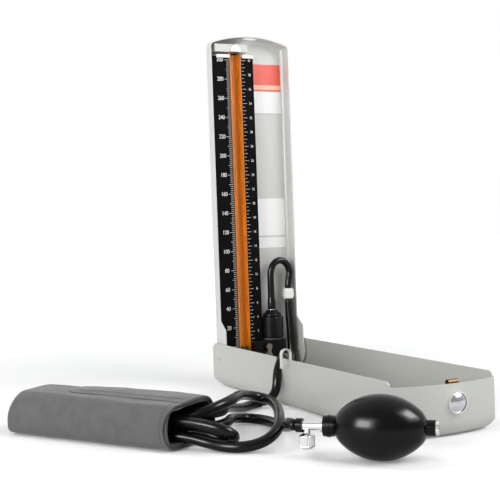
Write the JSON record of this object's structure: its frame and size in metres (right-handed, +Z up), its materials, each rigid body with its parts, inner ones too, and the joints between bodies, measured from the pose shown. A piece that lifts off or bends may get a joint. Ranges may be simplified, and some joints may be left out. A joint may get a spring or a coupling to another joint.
{
  "type": "mercury sphygmomanometer",
  "caption": "Desk blood-pressure gauge: metal case with a hinged lid carrying a mercury tube and scale, joined by rubber hoses to a rolled arm cuff and a hand bulb.",
  "frame": {"origin": "middle of the tray's flat underside, on the table", "axes": "+Z up, +Y along the tray to the lid's hinge, +X across the tray; the lid stands open at rest"},
  "size_m": [0.3352, 0.4108, 0.36],
  "materials": {
    "case_paint": "satin",
    "hook_steel": "satin",
    "rivet_steel": "satin",
    "washer_plastic": "matte",
    "chrome": "polished",
    "leaf_bronze": "satin",
    "board_paint": "satin",
    "amber_plastic": "gloss",
    "tube_glass": "clear",
    "mercury": "mirror",
    "seal_rubber": "matte",
    "white_plastic": "satin",
    "black_plastic": "gloss",
    "hose_rubber": "satin",
    "cuff_cloth": "woven",
    "bladder_rubber": "matte",
    "bulb_rubber": "gloss"
  },
  "bodies": {
    "base": {"tray": "case_paint", "hose_hook": "hook_steel", "pivot_rivets": "rivet_steel", "pivot_washers": "washer_plastic", "latch_bezel": "chrome", "latch_foot": "leaf_bronze", "hinge_hose": "hose_rubber", "sill_hose": "hose_rubber", "gauge_hose": "hose_rubber", "cuff_hose_loop": "hose_rubber", "cuff_hose_fold": "hose_rubber", "bulb_hose": "hose_rubber", "cuff_roll": "cuff_cloth", "cuff_bladder": "bladder_rubber", "hose_ferrule": "bulb_rubber", "valve_body": "chrome", "bulb_collar": "bulb_rubber", "bulb": "bulb_rubber", "inlet_valve": "chrome"},
    "lid": {"lid_shell": "case_paint", "scale_board": "board_paint", "amber_channel": "amber_plastic", "glass_tube": "tube_glass", "mercury_column": "mercury", "tube_seat": "seal_rubber", "tube_bung": "seal_rubber", "top_bracket": "white_plastic", "tube_clip": "white_plastic", "board_blocks": "white_plastic", "valve_block": "black_plastic", "spindle_nut": "chrome", "block_screws": "chrome", "pot_gasket": "seal_rubber", "reservoir_pot": "black_plastic", "mercury_pool": "mercury", "reservoir_cap": "black_plastic", "hose_nipple": "chrome", "lid_hose": "hose_rubber", "hose_coupling": "white_plastic"},
    "button": {"latch_button": "chrome"},
    "leaf": {"latch_leaf": "leaf_bronze"},
    "spindle": {"valve_spindle": "chrome"},
    "wheel": {"thumb_wheel": "chrome"}
  },
  "joints": [
    {"name": "lid_hinge", "type": "hinge", "parent": "base", "child": "lid", "pos_m": [0, 0.151, 0.032], "axis": [1, 0, 0], "range_deg": [0, 90], "deforming": ["hinge_hose", "sill_hose"]},
    {"name": "button_push", "type": "slide", "parent": "base", "child": "button", "axis": [0, 1, 0], "range_m": [0, 0.0016], "stiffness_N_per_m": 400},
    {"name": "leaf_flex", "type": "hinge", "parent": "base", "child": "leaf", "pos_m": [0, -0.165, 0.0025], "axis": [-1, 0, 0], "range_deg": [0, 4]},
    {"name": "shutoff_turn", "type": "hinge", "parent": "lid", "child": "spindle", "pos_m": [0.0044, 0.151, 0.029], "axis": [0, 1, 0], "range_deg": [0, 90]},
    {"name": "thumb_turn", "type": "hinge", "parent": "base", "child": "wheel", "pos_m": [-0.12046, -0.17721, 0.0225], "axis": [0, 0, 1], "range_deg": [0, 270]}
  ],
  "couplings": [
    {"joint": "leaf_flex", "follows": "button_push", "rad_per_m": 43.1}
  ]
}
